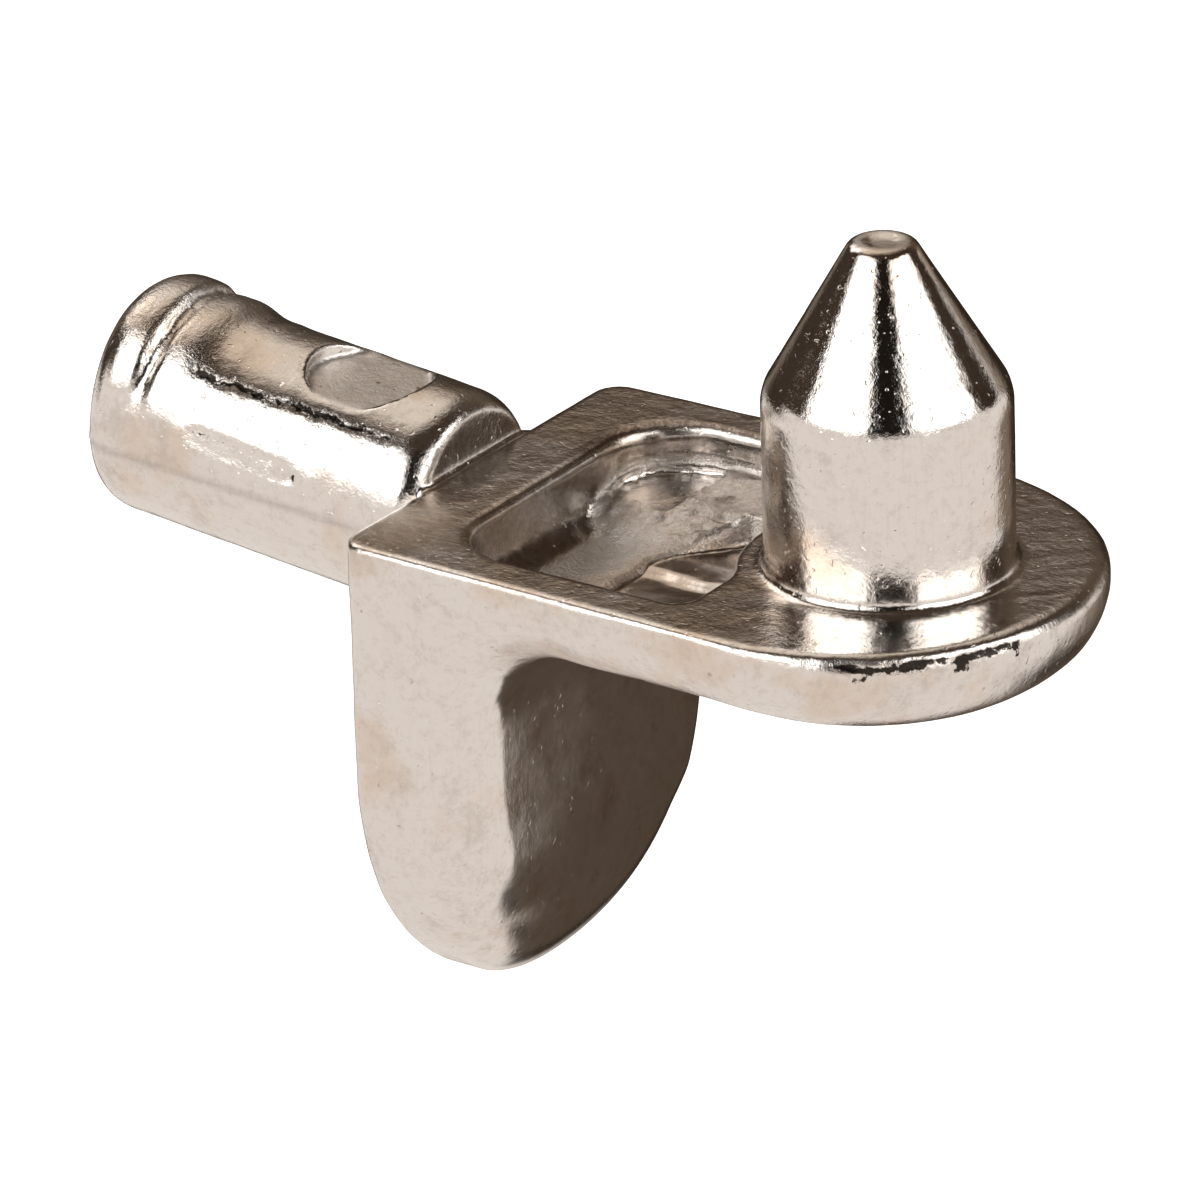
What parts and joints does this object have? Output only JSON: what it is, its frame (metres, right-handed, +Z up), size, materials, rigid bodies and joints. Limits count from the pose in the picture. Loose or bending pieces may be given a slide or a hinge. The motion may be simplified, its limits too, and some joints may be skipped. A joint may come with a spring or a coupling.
{
  "type": "shelf support pin",
  "caption": "Nickel-plated die-cast shelf support: a round plug for a 5 mm hole in the cabinet side, a leg against the wall, and a platform with an upright pointed pin for the shelf",
  "frame": {"origin": "on the plug's axis, in the plane of the cabinet's wall", "axes": "+X out from the wall towards the platform's nose, +Y along the wall, +Z up"},
  "size_m": [0.0228, 0.01, 0.0177],
  "materials": {
    "nickel_plate": "bright warm nickel plate over a slightly rough zinc die casting"
  },
  "bodies": {
    "root": {"support_pin": "nickel_plate"}
  },
  "joints": []
}
